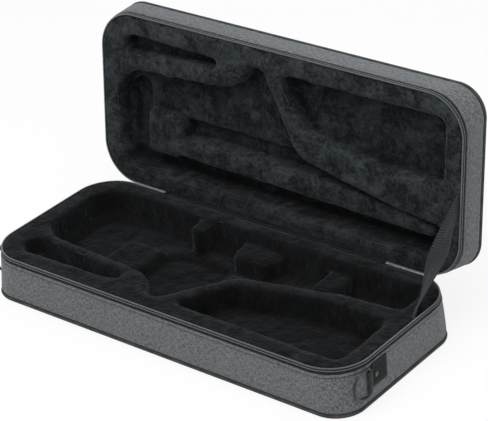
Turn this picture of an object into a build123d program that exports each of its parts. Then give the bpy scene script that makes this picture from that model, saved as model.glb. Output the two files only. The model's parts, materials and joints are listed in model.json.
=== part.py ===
"""Alto saxophone case: two foam halves, plush lined, fabric covered, zipped round three sides.

Millimetres, +Z up. The tray stands on its base panel at z = 0 with its mouth up, centred on X and Y.
The long sides run along X, the front faces -Y and the fabric hinge lies along the back, at +Y.
The lid is modelled open, as far as its webbing stay lets it go.
"""
import os
from dataclasses import dataclass

from build123d import *

# Case
case_length = 670.0
case_width = 286.0
tray_height = 78.0
lid_height = 60.0
open_angle = 95.5
rim_corner_radius = 64.0
panel_corner_radius = 45.0
mouth_gap = 0.4

# Covers
piping_radius = 2.8
piping_stand_out = 1.0
piping_floor_gap = 0.2
band_thickness = 1.6
panel_thickness = 2.0
cover_gap = 0.1

# Zip
tape_height = 10.5
tape_thickness = 1.3
coil_height = 2.4
coil_width = 2.6
zip_end = 205.0
stop_length = 4.0
back_cut_width = 10.0

# Zip sliders and their pulls
slider_length = 13.0
slider_height = 7.0
slider_depth = 3.2
slider_gap = 0.2
slider_parking_gap = 1.0
slider_drop = 2.2
slider_corner_radius = 1.2
lug_width = 3.0
lug_wall = 0.9
pull_length = 26.0
pull_width = 7.0
pull_thickness = 1.6
pull_corner_radius = 2.5
pull_pin_radius = 0.9
pull_pin_clearance = 0.08
pull_side_clearance = 0.3
pull_slot_length = 3.2

# Fabric hinge along the back
hinge_roll_radius = 0.8
hinge_drop = 1.5
hinge_end_gap = 4.0
fold_clearance = 0.3

# Foam and plush lining
lining_thickness = 2.0
lining_edge_inset = 3.2
land_drop = 2.0
left_land = 30.0
right_land = 33.0
front_land = 35.0
back_land = 28.0
floor_radius = 7.0
cut_overrun = 1.0

# Stay strap and the tabs that hold its ends
stay_width = 25.0
stay_thickness = 1.4
stay_tray_inset = 12.0
stay_tray_y = 50.0
stay_lid_inset = 6.5
stay_lid_y = 17.0
stay_turn_angle = 149.0
stay_steps = 12
tab_width = 5.0
tab_margin = 1.0
tab_thickness = 1.2
tab_corner_radius = 2.0

# Ring holders, one at each end
ring_wire_radius = 1.9
ring_bar_length = 44.8
ring_reach = 31.0
ring_bar_corner = 4.5
ring_bow_corner = 21.0
ring_rest_angle = 7.0
ring_front_distance = 56.0
ring_rim_distance = 35.5
loop_width = 34.0
loop_thickness = 1.4
loop_bore_clearance = 0.3
loop_tail = 7.0
patch_length = 36.0
patch_height = 38.0
patch_corner_radius = 3.0
patch_tape_gap = 1.5
rivet_radius = 4.0
rivet_height = 1.6
rivet_edge_radius = 1.0
rivet_distance = 9.0
rivet_rise = 4.0

# Places worked out from the sizes above
wall_length = case_length - 2 * piping_stand_out
wall_width = case_width - 2 * piping_stand_out
wall_x = wall_length / 2
wall_y = wall_width / 2
tape_inset = band_thickness - tape_thickness
hinge_y = wall_y - tape_inset - tape_thickness / 2
hinge_z = tray_height - hinge_drop
coil_near = mouth_gap / 2
tape_near = coil_near + coil_height
piping_zone = piping_floor_gap + 2 * piping_radius
panel_inset = 2 * piping_radius - piping_stand_out + cover_gap
foam_top = land_drop + lining_thickness
hinge_reach = zip_end - hinge_end_gap
patch_thickness = 2 * loop_thickness
loop_radius = ring_wire_radius + loop_bore_clearance + loop_thickness
ring_x = wall_x + loop_radius
ring_y = ring_front_distance - wall_y
ring_z = tray_height - ring_rim_distance
patch_front = ring_y + loop_tail
slider_x = zip_end + stop_length + slider_parking_gap + slider_length / 2
slider_y = wall_y + slider_gap
slider_z = hinge_z - slider_drop - slider_height / 2
lug_radius = pull_pin_radius + pull_pin_clearance + lug_wall
pin_y = slider_y + slider_depth + lug_radius
pocket_left = left_land - wall_x
pocket_right = wall_x - right_land
pocket_front = front_land - wall_y
pocket_back = wall_y - back_land


@dataclass
class Half:
    """One half of the case: its rim plane holds the closed case's X and Y, and depth runs into it."""

    rim: Plane
    way: int
    height: float


@dataclass
class Pit:
    """A rounded block set into or left standing in the main pocket.

    It starts at run from the pocket's left edge and back_gap from its back edge.
    depth is that of the plush on the block, below the land.
    """

    run: float
    length: float
    back_gap: float
    width: float
    corner: float
    depth: float


# Main pocket: the ridge runs in from the right end, bends, and drops to the bell's mouth in front
bell_run = 260.0
bell_foot = 23.0
nose_run = 230.0
nose_height = 44.0
nose_rise = 14.0
end_corner = 45.0
inner_corner = 15.0
foot_corner = 10.0
ridge_corner = 60.0
ridge_bend_run = 87.0
tray_ridge_end = 48.0
tray_ridge_bend = 40.0
tray_ridge_foot_run = 90.0
tray_ridge_foot_rise = 107.0
lid_ridge_end = 60.0
lid_ridge_bend = 51.0
lid_ridge_foot_run = 88.0
lid_ridge_foot_rise = 124.0
tray_main_depth = 42.0
lid_main_depth = 30.0

# Accessory pocket in front of the ridge
ridge_width = 26.0
step_run = 112.0
step_foot = 52.0
tray_pocket_top = 13.0
tray_step_top = -20.0
lid_pocket_top = -3.0
lid_step_top = -24.0
tray_accessory_depth = 44.0
lid_accessory_depth = 30.0

# Neck slot in the front left corner
slot_run = 27.0
slot_length = 162.0
tray_slot_wide_radius = 21.0
tray_slot_narrow_radius = 11.0
lid_slot_wide_radius = 15.0
lid_slot_narrow_radius = 8.0
tray_slot_depth = 32.0
lid_slot_depth = 24.0

# Pits in the tray's main pocket for the bell, the bow's guard and the keys
bell_pit_run = 164.0
bell_pit_length = 126.0
bell_pit_back_gap = 40.0
bell_pit_width = 133.0
bell_pit_corner = 24.0
bell_pit_depth = 62.0
bow_pit_run = 8.0
bow_pit_length = 84.0
bow_pit_back_gap = 8.0
bow_pit_width = 141.0
bow_pit_corner = 36.0
bow_pit_depth = 54.0
key_pit_run = 70.0
key_pit_end_gap = 11.0
key_pit_back_gap = 6.0
key_pit_width = 52.0
key_pit_corner = 16.0
key_pit_depth = 52.0

# Rests that carry the body tube, and the rib beside the bell, all standing against the back wall
rest_overrun = 20.0
rest_corner = 14.0
rest_depth = 22.0
middle_rest_run = 276.0
middle_rest_length = 76.0
middle_rest_width = 60.0
end_rest_run = 436.0
end_rest_length = 40.0
end_rest_width = 82.0
rib_run = 190.0
rib_length = 24.0
rib_width = 54.0
rib_corner = 10.0
rib_depth = 6.0

# Trough along the lid's hinge side, and the pit at the bow's end
trough_run = 6.0
trough_end_gap = 11.0
trough_back_gap = 2.0
trough_width = 25.0
trough_corner = 11.0
lid_bow_pit_back_gap = 4.0
lid_bow_pit_length = 38.0
lid_bow_pit_width = 141.0
lid_bow_pit_corner = 17.0
lid_pit_depth = 44.0

# Deeper trough in the lid for the body tube's keys, between the ridge and the bar
body_trough_run = 104.0
body_trough_ridge_gap = 3.0
body_trough_end_width = 21.0
body_trough_corner = 8.0

# Raised bar in the lid that holds the body down, tapering to the right, with a block at its left end
bar_run = 50.0
bar_end_gap = 19.0
bar_left_gap = 36.0
bar_left_width = 30.0
bar_right_gap = 27.0
bar_right_width = 22.0
bar_bend_run = 200.0
bar_bend = 47.0
bar_corner = 10.0
bar_depth = 12.0
block_length = 64.0
block_back_gap = 30.0
block_width = 72.0
block_corner = 13.0

pocket_length = pocket_right - pocket_left
tray_pits = [
    Pit(bell_pit_run, bell_pit_length, bell_pit_back_gap, bell_pit_width, bell_pit_corner, bell_pit_depth),
    Pit(bow_pit_run, bow_pit_length, bow_pit_back_gap, bow_pit_width, bow_pit_corner, bow_pit_depth),
    Pit(
        key_pit_run,
        pocket_length - key_pit_run - key_pit_end_gap,
        key_pit_back_gap,
        key_pit_width,
        key_pit_corner,
        key_pit_depth,
    ),
]
tray_pads = [
    Pit(middle_rest_run, middle_rest_length, -rest_overrun, middle_rest_width, rest_corner, rest_depth),
    Pit(end_rest_run, end_rest_length, -rest_overrun, end_rest_width, rest_corner, rest_depth),
    Pit(rib_run, rib_length, -rest_overrun, rib_width, rib_corner, rib_depth),
]
lid_pits = [
    Pit(
        trough_run,
        pocket_length - trough_run - trough_end_gap,
        trough_back_gap,
        trough_width,
        trough_corner,
        lid_pit_depth,
    ),
    Pit(
        trough_run,
        lid_bow_pit_length,
        lid_bow_pit_back_gap,
        lid_bow_pit_width,
        lid_bow_pit_corner,
        lid_pit_depth,
    ),
]
lid_pads = [Pit(bar_run, block_length, block_back_gap, block_width, block_corner, bar_depth)]

# The rim planes of the two halves
hinge_plane = Plane(origin=(0, hinge_y, hinge_z)).rotated((-open_angle, 0, 0))
lid_rim = Plane(
    origin=hinge_plane.from_local_coords((0, -hinge_y, hinge_drop)),
    x_dir=(1, 0, 0),
    z_dir=hinge_plane.z_dir,
)
tray = Half(rim=Plane.XY.offset(tray_height), way=-1, height=tray_height)
lid = Half(rim=lid_rim, way=1, height=lid_height)


def level(half, depth):
    """The plane parallel to the rim at this depth inside the half."""
    return half.rim.offset(half.way * depth)


def wall_outline(half, depth, inset):
    """The outline of the side wall at a depth, drawn in from the cover's outer face."""
    share = depth / half.height
    corner = rim_corner_radius + (panel_corner_radius - rim_corner_radius) * share
    return RectangleRounded(wall_length - 2 * inset, wall_width - 2 * inset, corner - inset)


def wall_block(half, inset, near, far, mode=Mode.ADD):
    """Fills the wall's outline between two depths."""
    sections = []
    for depth in (near, far):
        with BuildSketch(level(half, depth)) as section:
            wall_outline(half, depth, inset)
        sections.append(section.sketch)
    loft(sections, mode=mode)


def wall_hoop(half, outside, inside, near, far):
    """Adds a closed hoop between two insets and two depths."""
    wall_block(half, outside, near, far)
    wall_block(half, inside, near, far, mode=Mode.SUBTRACT)


def open_back(half, reach, near, far):
    """Opens a hoop along the back, where the zip stops and the hinge begins."""
    with BuildSketch(level(half, near)) as stretch:
        with Locations((0, wall_y)):
            Rectangle(2 * reach, back_cut_width)
    extrude(stretch.sketch, amount=half.way * (far - near), mode=Mode.SUBTRACT)


def side_band(half):
    """The grey woven cover of the wall, from the zip tape to the piping."""
    with BuildPart() as band:
        wall_hoop(half, 0, band_thickness, tape_height, half.height - piping_zone)
    return band.part


def outer_panel(half):
    """The fabric panel over the half's outside."""
    with BuildPart() as panel:
        wall_block(half, panel_inset, half.height - panel_thickness, half.height)
    return panel.part


def piping(half):
    """The round cord sewn in where the side cover meets the panel."""
    depth = half.height - piping_floor_gap - piping_radius
    with BuildSketch(level(half, depth)) as route:
        wall_outline(half, depth, piping_radius - piping_stand_out)
    path = route.sketch.wire()
    with BuildPart() as cord:
        with BuildSketch(Plane(origin=path @ 0, z_dir=path % 0)):
            Circle(piping_radius)
        sweep(path=path)
    return cord.part


def zip_tape(half):
    """The woven tape between the side cover and the teeth."""
    with BuildPart() as tape:
        wall_hoop(half, tape_inset, band_thickness, tape_near, tape_height)
        open_back(half, zip_end, tape_near, tape_height)
    return tape.part


def zip_coil(half):
    """The row of coil teeth on the tape's edge, as one bar of their overall section."""
    with BuildPart() as coil:
        wall_hoop(half, tape_inset, tape_inset + coil_width, coil_near, tape_near)
        open_back(half, zip_end + stop_length, coil_near, tape_near)
    return coil.part


def zip_stops(half):
    """The two clips that end the teeth beside the hinge."""
    centre = zip_end + stop_length / 2
    with BuildPart() as stops:
        with BuildSketch(level(half, coil_near)):
            with Locations((-centre, wall_y - tape_inset - coil_width / 2)):
                Rectangle(stop_length - 2 * cover_gap, coil_width)
            with Locations((centre, wall_y - tape_inset - coil_width / 2)):
                Rectangle(stop_length - 2 * cover_gap, coil_width)
        extrude(amount=half.way * coil_height)
    return stops.part


def hinge_leaf(half, near):
    """One side of the fabric hinge, sewn into the cover where the zip leaves off."""
    with BuildPart() as leaf:
        with BuildSketch(level(half, near)):
            with Locations((0, hinge_y)):
                Rectangle(2 * hinge_reach, tape_thickness)
        extrude(amount=half.way * (tape_height - near))
        if half is tray:
            with BuildSketch(Plane.YZ.offset(-hinge_reach)):
                with Locations((hinge_y, hinge_z)):
                    Circle(hinge_roll_radius)
            extrude(amount=2 * hinge_reach)
    return leaf.part


def main_pocket(ridge_end, ridge_bend, foot_run, foot_rise):
    """Corners (x, y, radius) of the long pocket for the body, bow and bell."""
    mouth = pocket_left + bell_run
    nose_y = pocket_front + nose_height
    return [
        (pocket_left, pocket_back, end_corner),
        (pocket_right, pocket_back, inner_corner),
        (pocket_right, ridge_end, inner_corner),
        (pocket_right - ridge_bend_run, ridge_bend, ridge_corner),
        (mouth + foot_run, pocket_front + foot_rise, end_corner),
        (mouth + bell_foot, pocket_front, foot_corner),
        (mouth, pocket_front, foot_corner),
        (pocket_left + nose_run, nose_y, end_corner),
        (pocket_left, nose_y + nose_rise, end_corner),
    ]


def accessory_pocket(top, step_top):
    """Corners of the compartment in front of the ridge."""
    foot = pocket_left + bell_run + bell_foot + ridge_width
    return [
        (foot, pocket_front, foot_corner),
        (pocket_right, pocket_front, inner_corner),
        (pocket_right, top, inner_corner),
        (pocket_right - step_run, top, end_corner),
        (foot + step_foot, step_top, inner_corner),
    ]


def body_trough():
    """Corners of the lid's trough along its ridge, its back edge under the bar."""
    left = pocket_left + body_trough_run
    right = pocket_right - ridge_bend_run
    top = lid_ridge_bend + body_trough_ridge_gap
    back = top + body_trough_end_width
    foot = pocket_front + lid_ridge_foot_rise + body_trough_ridge_gap
    return [
        (left, back, body_trough_corner),
        (right, back, body_trough_corner),
        (right, top, body_trough_corner),
        (pocket_left + bell_run + lid_ridge_foot_run, foot, end_corner),
        (left, foot, body_trough_corner),
    ]


def raised_bar():
    """Corners of the bar in the lid."""
    left = pocket_left + bar_run
    right = pocket_right - bar_end_gap
    left_back = pocket_back - bar_left_gap
    right_back = pocket_back - bar_right_gap
    return [
        (left, left_back, bar_corner),
        (right, right_back, bar_corner),
        (right, right_back - bar_right_width, bar_corner),
        (pocket_right - bar_bend_run, bar_bend, ridge_corner),
        (left, left_back - bar_left_width, bar_corner),
    ]


def pit_outline(pit):
    """Corners of a pit or pad."""
    left = pocket_left + pit.run
    back = pocket_back - pit.back_gap
    right = left + pit.length
    front = back - pit.width
    return [
        (left, back, pit.corner),
        (right, back, pit.corner),
        (right, front, pit.corner),
        (left, front, pit.corner),
    ]


def into(half):
    """The axis that runs from the mouth into the half."""
    return Axis(half.rim.origin, half.rim.z_dir * half.way)


def carve(half, corners, top, depth, grow):
    """A block under an outline, grown all round and in depth, with rounded floor edges."""
    with BuildPart() as block:
        with BuildSketch(level(half, top)):
            with BuildLine():
                FilletPolyline(*[c[:2] for c in corners], radius=[c[2] for c in corners], close=True)
            make_face()
            if grow:
                offset(amount=grow)
        extrude(amount=half.way * (land_drop + depth + grow - top))
        floor = block.faces().sort_by(into(half))[-1]
        fillet(floor.edges(), floor_radius + grow)
    return block.part


def stand(half, corners, depth, grow, foot):
    """A pad left standing in the pocket, shrunk under the plush by the same growth."""
    with BuildPart() as pad:
        with BuildSketch(level(half, land_drop + depth + grow)):
            with BuildLine():
                FilletPolyline(*[c[:2] for c in corners], radius=[c[2] for c in corners], close=True)
            make_face()
            if grow:
                offset(amount=-grow)
        extrude(amount=half.way * (foot - depth))
    return pad.part


def neck_slot(half, wide, narrow, top, depth, grow):
    """The tapering slot for the neck in the front left corner."""
    x = pocket_left + slot_run
    y = pocket_front + wide
    with BuildPart() as slot:
        with BuildSketch(level(half, top)):
            with Locations((x, y)):
                Circle(wide + grow)
            with Locations((x + slot_length, y - (wide - narrow) / 2)):
                Circle(narrow + grow)
            make_hull()
        extrude(amount=half.way * (land_drop + depth + grow - top))
        floor = slot.faces().sort_by(into(half))[-1]
        fillet(floor.edges(), min(floor_radius, narrow - 1) + grow)
    return slot.part


def hollow(half, grow):
    """Everything carved from a half, at the plush's face or, grown, at the foam behind it."""
    top = land_drop - cut_overrun
    if half is tray:
        outlines = [
            (
                main_pocket(tray_ridge_end, tray_ridge_bend, tray_ridge_foot_run, tray_ridge_foot_rise),
                tray_main_depth,
            ),
            (accessory_pocket(tray_pocket_top, tray_step_top), tray_accessory_depth),
        ]
        raised = []
        pits, pads = tray_pits, tray_pads
        slot = neck_slot(half, tray_slot_wide_radius, tray_slot_narrow_radius, top, tray_slot_depth, grow)
    else:
        outlines = [
            (
                main_pocket(lid_ridge_end, lid_ridge_bend, lid_ridge_foot_run, lid_ridge_foot_rise),
                lid_main_depth,
            ),
            (accessory_pocket(lid_pocket_top, lid_step_top), lid_accessory_depth),
            (body_trough(), lid_pit_depth),
        ]
        raised = [(raised_bar(), bar_depth)]
        pits, pads = lid_pits, lid_pads
        slot = neck_slot(half, lid_slot_wide_radius, lid_slot_narrow_radius, top, lid_slot_depth, grow)
    outlines += [(pit_outline(pit), pit.depth) for pit in pits]
    raised += [(pit_outline(pad), pad.depth) for pad in pads]
    deepest = max(depth for _, depth in outlines) + grow + cut_overrun
    blocks = [carve(half, corners, top, depth, grow) for corners, depth in outlines]
    stands = [stand(half, corners, depth, grow, deepest) for corners, depth in raised]
    with BuildPart() as void:
        add(blocks)
        add(stands, mode=Mode.SUBTRACT)
        add(slot)
    return void.part


def foam_shell(half, void):
    """The moulded foam half, with its pockets and a step for the piping."""
    with BuildPart() as shell:
        wall_block(half, band_thickness, foam_top, half.height - piping_zone)
        wall_block(half, panel_inset, half.height - piping_zone, half.height - panel_thickness)
        add(void, mode=Mode.SUBTRACT)
    return shell.part


def plush_lining(half, void, foam_void):
    """The plush sheet over the land and down into every pocket."""
    with BuildPart() as lining:
        wall_block(half, lining_edge_inset, land_drop, foam_top)
        add(foam_void)
        with BuildSketch(level(half, land_drop)):
            Rectangle(wall_length, wall_width)
        extrude(amount=-half.way * 2 * cut_overrun, mode=Mode.SUBTRACT)
        add(void, mode=Mode.SUBTRACT)
    return lining.part


def slider(side):
    """A zip slider parked outside the tape's end beside the hinge, with the lug for its pull."""
    with BuildPart() as body:
        with BuildSketch(Plane.XZ.offset(-slider_y)):
            with Locations((side * slider_x, slider_z)):
                RectangleRounded(slider_length, slider_height, slider_corner_radius)
        extrude(amount=-slider_depth)
        with BuildSketch(Plane.YZ.offset(side * slider_x - lug_width / 2)):
            with Locations((pin_y, slider_z)):
                Circle(lug_radius)
            with Locations((pin_y - lug_radius / 2, slider_z)):
                Rectangle(lug_radius, 2 * lug_radius)
        extrude(amount=lug_width)
        with BuildSketch(Plane.YZ.offset(side * slider_x - slider_length / 2)):
            with Locations((pin_y, slider_z)):
                Circle(pull_pin_radius + pull_pin_clearance)
        extrude(amount=slider_length, mode=Mode.SUBTRACT)
    return body.part


def pull(side):
    """The tab that hangs from a slider, with a pin through the lug."""
    slot_width = lug_width + 2 * pull_side_clearance
    with BuildPart() as tab:
        with BuildSketch(Plane.XZ.offset(-(pin_y + pull_thickness / 2))):
            with Locations((side * slider_x, slider_z - pull_length / 2 + pull_pin_radius)):
                RectangleRounded(pull_width, pull_length, pull_corner_radius)
            with Locations((side * slider_x, slider_z)):
                Rectangle(slot_width, 2 * pull_slot_length, mode=Mode.SUBTRACT)
        extrude(amount=pull_thickness)
        with BuildSketch(Plane.YZ.offset(side * slider_x - pull_width / 2 + pull_side_clearance)):
            with Locations((pin_y, slider_z)):
                Circle(pull_pin_radius)
        extrude(amount=pull_width - 2 * pull_side_clearance)
    return tab.part


def stay_section(share):
    """The plane that cuts the stay at a share of its way up, X across the band, and the cut's width.

    The end cuts lie in the two lands, and the band turns about its own line between them.
    """
    mouth = land_drop - tab_thickness - fold_clearance
    low = level(tray, mouth).from_local_coords((wall_x - stay_tray_inset, stay_tray_y, 0))
    high = level(lid, mouth).from_local_coords((wall_x - stay_lid_inset, stay_lid_y, 0))
    run = (high - low).normalized()
    normal = tray.rim.z_dir * (1 - share) + lid.rim.z_dir * share
    turn = stay_turn_angle * (1 - share * share * (3 - 2 * share))
    flat = run.cross(Vector(1, 0, 0)).normalized().rotate(Axis((0, 0, 0), run), -turn)
    across = flat - run * (flat.dot(normal) / run.dot(normal))
    return Plane(origin=low + (high - low) * share, x_dir=across, z_dir=normal), stay_width * across.length


def stay_tab(half, share):
    """The stitched tab on the land that holds one end of the stay."""
    end, length = stay_section(share)
    with BuildPart() as tab:
        with BuildSketch(end.offset(half.way * (tab_thickness + fold_clearance))):
            RectangleRounded(length + 2 * tab_margin, tab_width, tab_corner_radius)
        extrude(amount=-half.way * tab_thickness)
    return tab.part


def stay_strap():
    """The webbing stay, a straight band that turns on its way from the tray's tab to the lid's."""
    with BuildPart() as strap:
        for step in range(stay_steps + 1):
            section, width = stay_section(step / stay_steps)
            with BuildSketch(section):
                Rectangle(width, stay_thickness)
        loft(ruled=True)
    return strap.part


def ring():
    """The D ring, its bar upright beside the wall and its bow turned in round the case's front corner."""
    rest = Plane(
        origin=(ring_x, ring_y, ring_z),
        x_dir=Vector(0, -1, 0).rotate(Axis.Z, -ring_rest_angle),
        z_dir=Vector(-1, 0, 0).rotate(Axis.Z, -ring_rest_angle),
    )
    arm = ring_bar_length / 2
    with BuildPart() as wire:
        with BuildLine(rest):
            path = FilletPolyline(
                (0, -arm),
                (0, arm),
                (ring_reach, arm),
                (ring_reach, -arm),
                radius=[ring_bar_corner, ring_bar_corner, ring_bow_corner, ring_bow_corner],
                close=True,
            )
        with BuildSketch(Plane(origin=path @ 0, z_dir=path % 0)):
            Circle(ring_wire_radius)
        sweep(path=path)
    return wire.part


def loop():
    """The folded webbing that carries the ring's bar and runs back to the patch."""
    with BuildPart() as fold:
        with BuildSketch(Plane.XY.offset(ring_z - loop_width / 2)):
            with Locations((ring_x, ring_y)):
                Circle(loop_radius)
            with Locations((wall_x + patch_thickness / 2, ring_y + loop_tail - cover_gap)):
                Rectangle(patch_thickness, 2 * cover_gap)
            make_hull()
            with Locations((ring_x, ring_y)):
                Circle(ring_wire_radius + loop_bore_clearance, mode=Mode.SUBTRACT)
        extrude(amount=loop_width)
    return fold.part


def patch():
    """The leather patch sewn to the wall over the webbing's ends."""
    top = tray_height - tape_height - patch_tape_gap
    with BuildPart() as cover:
        with BuildSketch(Plane.YZ.offset(wall_x)):
            with Locations((patch_front + patch_length / 2, top - patch_height / 2)):
                RectangleRounded(patch_length, patch_height, patch_corner_radius)
        extrude(amount=patch_thickness)
    return cover.part


def rivet():
    """The rivet head on the patch."""
    with BuildPart() as head:
        with BuildSketch(Plane.YZ.offset(wall_x + patch_thickness)):
            with Locations((patch_front + rivet_distance, ring_z + rivet_rise)):
                Circle(rivet_radius)
        extrude(amount=rivet_height)
        fillet(head.edges().sort_by(Axis.X)[-1], rivet_edge_radius)
    return head.part


def mirrored(piece):
    """The same piece at the left end."""
    with BuildPart() as twin:
        add(piece)
        mirror(about=Plane.YZ, mode=Mode.REPLACE)
    return twin.part


pieces = {}
for name, half in (("tray", tray), ("lid", lid)):
    plush_void = hollow(half, 0)
    foam_void = hollow(half, lining_thickness)
    pieces[f"{name}_shell"] = foam_shell(half, foam_void)
    pieces[f"{name}_lining"] = plush_lining(half, plush_void, foam_void)
    pieces[f"{name}_side_band"] = side_band(half)
    pieces[f"{name}_panel"] = outer_panel(half)
    pieces[f"{name}_piping"] = piping(half)
    pieces[f"{name}_zip_tape"] = zip_tape(half)
    pieces[f"{name}_zip_coil"] = zip_coil(half)
    pieces[f"{name}_zip_stops"] = zip_stops(half)

pieces["tray_hinge_leaf"] = hinge_leaf(tray, hinge_drop)
pieces["lid_hinge_leaf"] = hinge_leaf(lid, hinge_roll_radius + fold_clearance - hinge_drop)
pieces["stay_tray_tab"] = stay_tab(tray, 0)
pieces["stay_lid_tab"] = stay_tab(lid, 1)
pieces["stay_strap"] = stay_strap()

for name, piece in (("ring", ring()), ("loop", loop()), ("patch", patch()), ("rivet", rivet())):
    pieces[f"right_{name}"] = piece
    pieces[f"left_{name}"] = mirrored(piece)

for name, side in (("right", 1), ("left", -1)):
    pieces[f"{name}_slider"] = slider(side)
    pieces[f"{name}_pull"] = pull(side)

os.makedirs("parts", exist_ok=True)
for name, piece in pieces.items():
    piece.label = name
    export_step(piece, f"parts/{name}.step")
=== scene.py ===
"""Looks of an open alto saxophone case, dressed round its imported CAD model. Metres, in the CAD's frame."""
import json
import math

import bmesh
import bpy
import numpy as np
from mathutils import Matrix, Vector, noise
from mathutils.bvhtree import BVHTree


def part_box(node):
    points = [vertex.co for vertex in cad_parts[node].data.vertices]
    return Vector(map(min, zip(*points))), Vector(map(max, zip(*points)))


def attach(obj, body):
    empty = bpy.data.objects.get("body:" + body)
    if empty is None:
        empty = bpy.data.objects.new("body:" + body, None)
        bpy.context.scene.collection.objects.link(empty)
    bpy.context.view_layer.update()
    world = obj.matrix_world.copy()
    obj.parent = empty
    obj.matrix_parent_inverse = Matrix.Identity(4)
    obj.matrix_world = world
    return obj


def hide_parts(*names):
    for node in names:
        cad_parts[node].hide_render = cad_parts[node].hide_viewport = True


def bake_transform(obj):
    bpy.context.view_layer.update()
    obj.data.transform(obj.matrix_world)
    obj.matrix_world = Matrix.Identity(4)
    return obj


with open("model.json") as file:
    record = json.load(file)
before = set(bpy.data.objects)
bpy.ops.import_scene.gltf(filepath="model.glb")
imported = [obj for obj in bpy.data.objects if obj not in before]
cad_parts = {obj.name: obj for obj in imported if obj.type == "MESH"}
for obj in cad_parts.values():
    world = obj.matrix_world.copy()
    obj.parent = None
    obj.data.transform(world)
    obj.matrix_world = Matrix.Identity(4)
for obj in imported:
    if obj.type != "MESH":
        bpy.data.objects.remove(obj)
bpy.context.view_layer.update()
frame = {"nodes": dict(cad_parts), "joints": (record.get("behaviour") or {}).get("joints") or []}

bl_info = {
    "name": "Saxophone case",
    "version": (1, 0, 0),
    "blender": (4, 5, 0),
    "location": "View3D > Sidebar > Case",
    "description": "Dresses a zipped saxophone case in its plush, cloth, piping, zip and webbing",
    "category": "Object",
}

HALVES = ("tray", "lid")
SIDES = {"right": 1, "left": -1}

# Places that the CAD model fixes. A depth runs from the rim into the foam, an inset in from the wall, and
# HALF is half of a band's thickness.
WALL_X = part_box("tray_side_band")[1].x
WALL_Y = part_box("tray_side_band")[1].y
HEIGHTS = {"tray": 0.078, "lid": 0.060}
RIM_HEIGHT = HEIGHTS["tray"]
RIM_RADIUS = 0.064
PANEL_RADIUS = 0.045
PANEL_INSET = 0.0047
HINGE = next(joint for joint in frame["joints"] if joint["name"] == "lid_hinge")
OPEN_ANGLE = math.radians(HINGE["range_deg"][1])
ZIP_END = 0.205
STOP_LENGTH = 0.004
TEETH_INSET = 0.0016
TEETH_DEPTH = 0.0014
TEETH_BACK = 0.0031
TAPE_DEPTH = 0.0105
CLOTH_BACK = 0.00155
PIPING_RADIUS = 0.0028
PIPING_INSET = 0.0018
PIPING_ZONE = 0.0058
STAY_ENDS = {"tray": (WALL_X - 0.012, 0.050), "lid": (WALL_X - 0.0065, 0.017)}
STAY_DEPTH = 0.0005
STAY_TURN = math.radians(149)
STAY_HALF = 0.0006
HINGE_HALF = 0.00055
LOOP_REACH = 0.017
LOOP_HALF = 0.00062
RING_X = 0.3376
RING_Y = -0.086
RING_Z = 0.0425
RING_REACH = 0.031
PATCH_SIZE = np.array((0.036, 0.038))
PATCH_CENTRE = np.array((-0.061, 0.047))

# The plush's gap below the rim; where the painted shade on the lid's land begins towards the hinge, and the
# width over which it grows; the crease depth that scales the painted shade in the pile's creases; and how
# far round a D ring the side cloth lies flat
RIM_GAP = 0.0004
HINGE_SHADE_START = 0.088
HINGE_SHADE_WIDTH = 0.030
CREASE_SHADE_DEPTH = 0.0025
RING_ZONE = 0.045


# Numbers and places

def linear(hex_colour):
    """An sRGB hex colour as linear RGBA."""
    parts = [int(hex_colour[i:i + 2], 16) / 255 for i in (1, 3, 5)]
    return tuple(p / 12.92 if p <= 0.04045 else ((p + 0.055) / 1.055) ** 2.4 for p in parts) + (1.0,)


def wander(points, size, seed):
    """Smooth noise from -1 to 1 at each point, with bumps of about that size."""
    shift = Vector((seed * 7.31, seed * 3.17, seed * 5.53))
    return np.array([noise.noise(Vector(p) / size + shift) for p in points])


def dip(offset, width):
    """A smooth bell round zero, 1 at its top."""
    return math.exp(-(offset / width) ** 2)


def unit(rows):
    """Rows of vectors at length 1."""
    return rows / np.linalg.norm(rows, axis=1)[:, None]


def looped(rows):
    """Rows with the first one again at the end."""
    return np.vstack([rows, rows[:1]])


def lengths(points):
    """Running length along a chain of points."""
    return np.concatenate([[0], np.cumsum(np.linalg.norm(np.diff(points, axis=0), axis=1))])


def beside(line):
    """The direction to the right of a flat line at each of its points."""
    way = unit(np.gradient(line, axis=0))
    return np.stack([way[:, 1], -way[:, 0]], axis=1)


def vectors(items, key):
    """One vector of each item, as rows."""
    flat = np.zeros(len(items) * 3, np.float32)
    items.foreach_get(key, flat)
    return flat.reshape(-1, 3).astype(float)


class Half:
    """One half of the case. Its rim plane holds the shut case's X and Y, and depth runs into the foam."""

    def __init__(self, body):
        self.body = body
        self.height = HEIGHTS[body]
        pivot = Vector(HINGE["pos_m"])
        rim = Vector((0, 0, RIM_HEIGHT))
        turn = Matrix.Identity(3)
        if body == "lid":
            turn = Matrix.Rotation(-OPEN_ANGLE, 3, "X")
            rim = pivot + turn @ (rim - pivot)
        self.origin = np.array(rim)
        self.along, self.over, up = (np.array(turn.col[i]) for i in range(3))
        self.into = up if body == "lid" else -up

    def place(self, flat, depth):
        """Points of the frame from places in the rim plane and their depths."""
        flat = np.asarray(flat, float)
        depth = np.broadcast_to(np.asarray(depth, float), flat.shape[:-1])
        return (
            self.origin
            + flat[..., :1] * self.along
            + flat[..., 1:] * self.over
            + depth[..., None] * self.into
        )

    def local(self, points):
        """Rim plane X, Y and depth of points of the frame."""
        offset = points - self.origin
        return offset @ self.along, offset @ self.over, offset @ self.into

    def radius(self, depth):
        """The outline's corner radius at a depth."""
        return RIM_RADIUS + (PANEL_RADIUS - RIM_RADIUS) * depth / self.height

    def line(self, route, inset, depth):
        """A line of stitches or teeth round the wall, with the wall's outward direction along it."""
        line = self.place(route.flat(inset, self.radius(depth)), depth)
        out = route.outward()
        out = out[:, :1] * self.along + out[:, 1:] * self.over
        return (looped(line), looped(out)) if route.closed else (line, out)


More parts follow.
